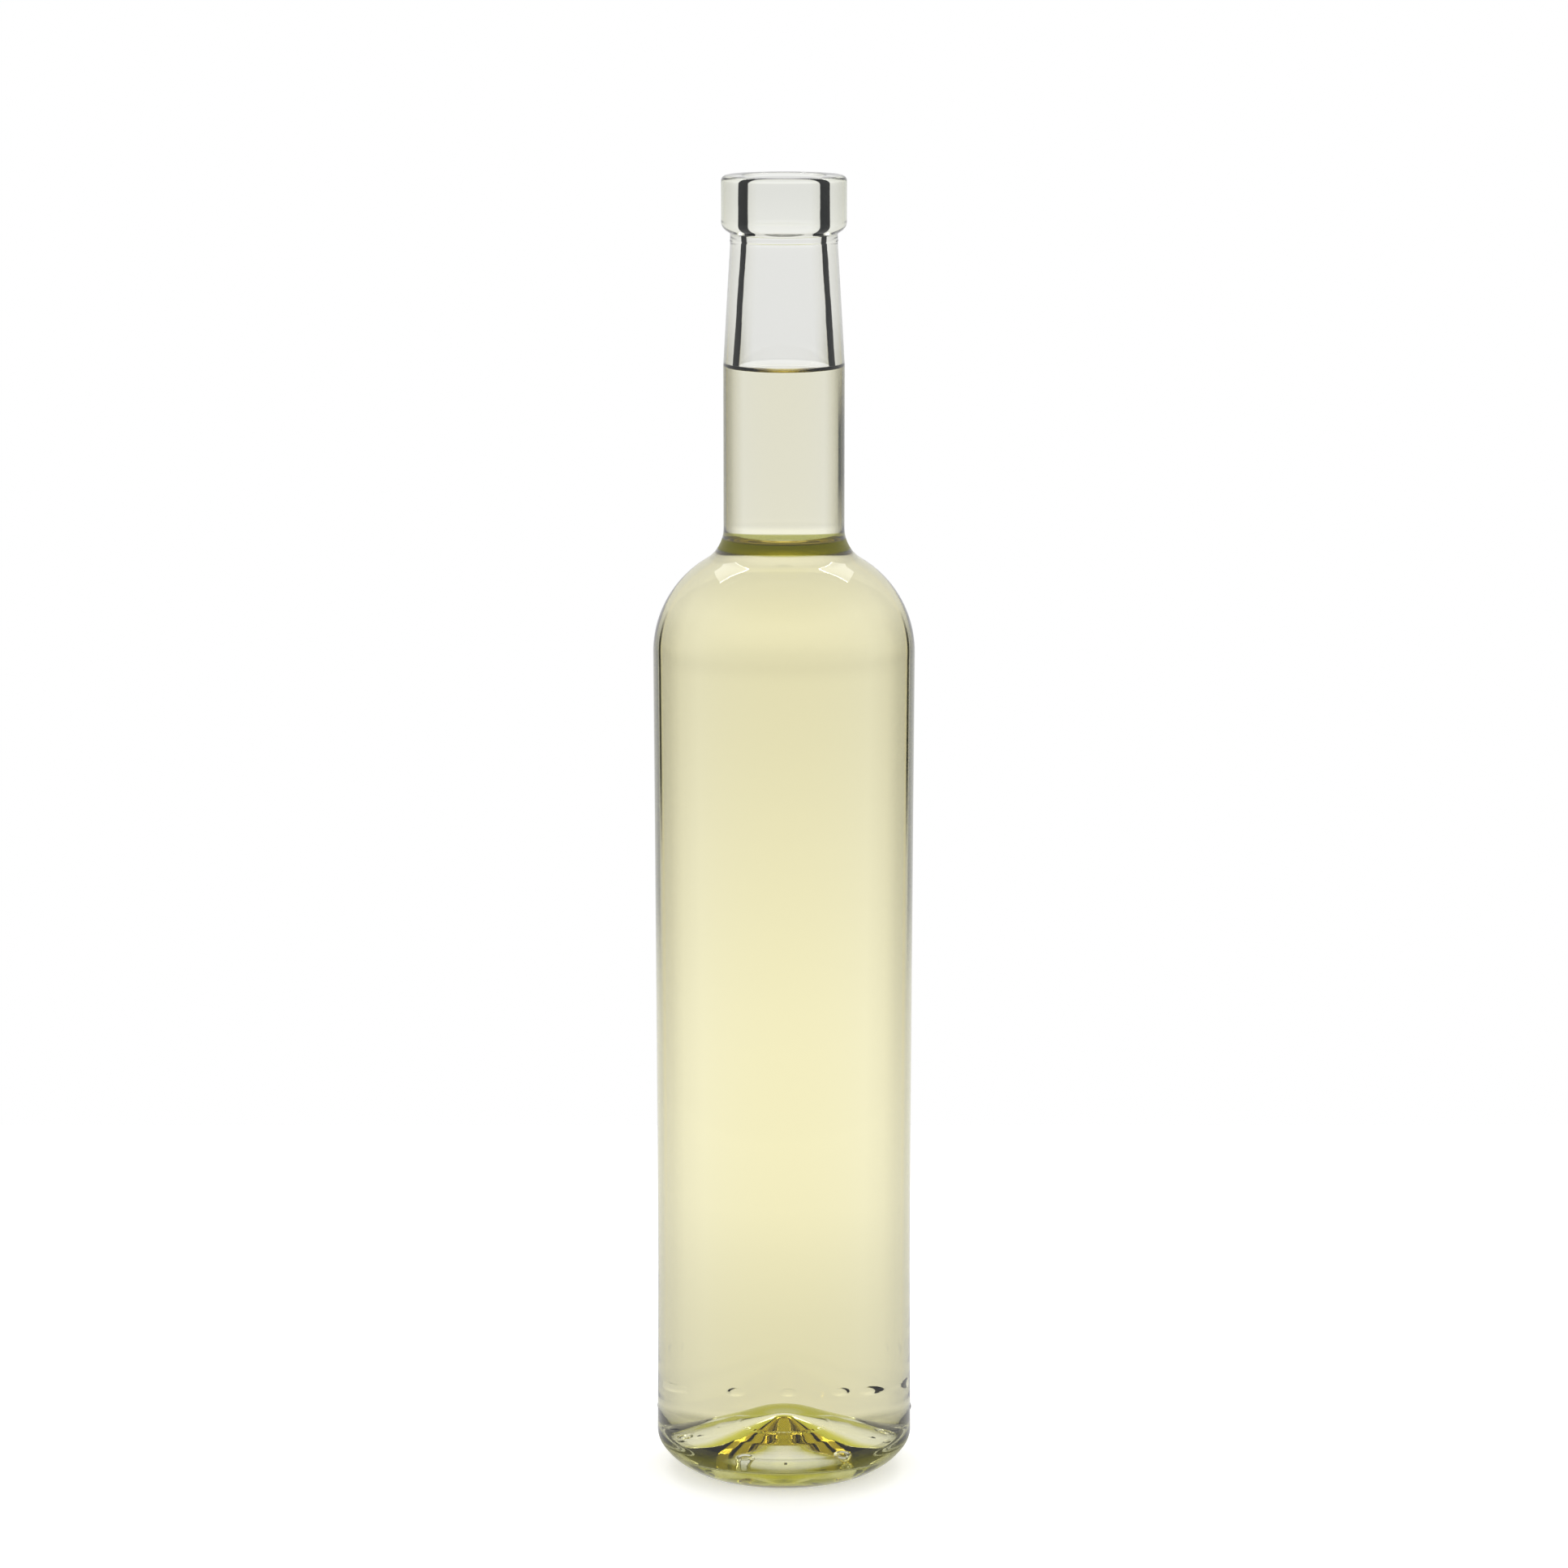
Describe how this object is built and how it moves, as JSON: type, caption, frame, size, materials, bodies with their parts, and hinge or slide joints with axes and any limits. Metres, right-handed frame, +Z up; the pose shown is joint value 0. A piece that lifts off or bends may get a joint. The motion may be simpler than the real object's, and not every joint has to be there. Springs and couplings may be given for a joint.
{
  "type": "bordeaux wine bottle",
  "caption": "Slim clear glass bordeaux bottle with a band finish, high shoulders and hollowed base, open and filled with white wine.",
  "frame": {"origin": "centre of the ring the bottle stands on, at the table", "axes": "+Z up along the bottle's axis to the mouth, -Y towards the front; the bottle is round, so X and Y only place the dots over the heel"},
  "size_m": [0.0622, 0.0623, 0.3128],
  "materials": {
    "flint_glass": "clear, fire-polished, a faint green-grey in thick places",
    "white_wine": "clear pale straw-yellow liquid"
  },
  "bodies": {
    "root": {"bottle": "flint_glass", "wine": "white_wine"}
  },
  "joints": []
}
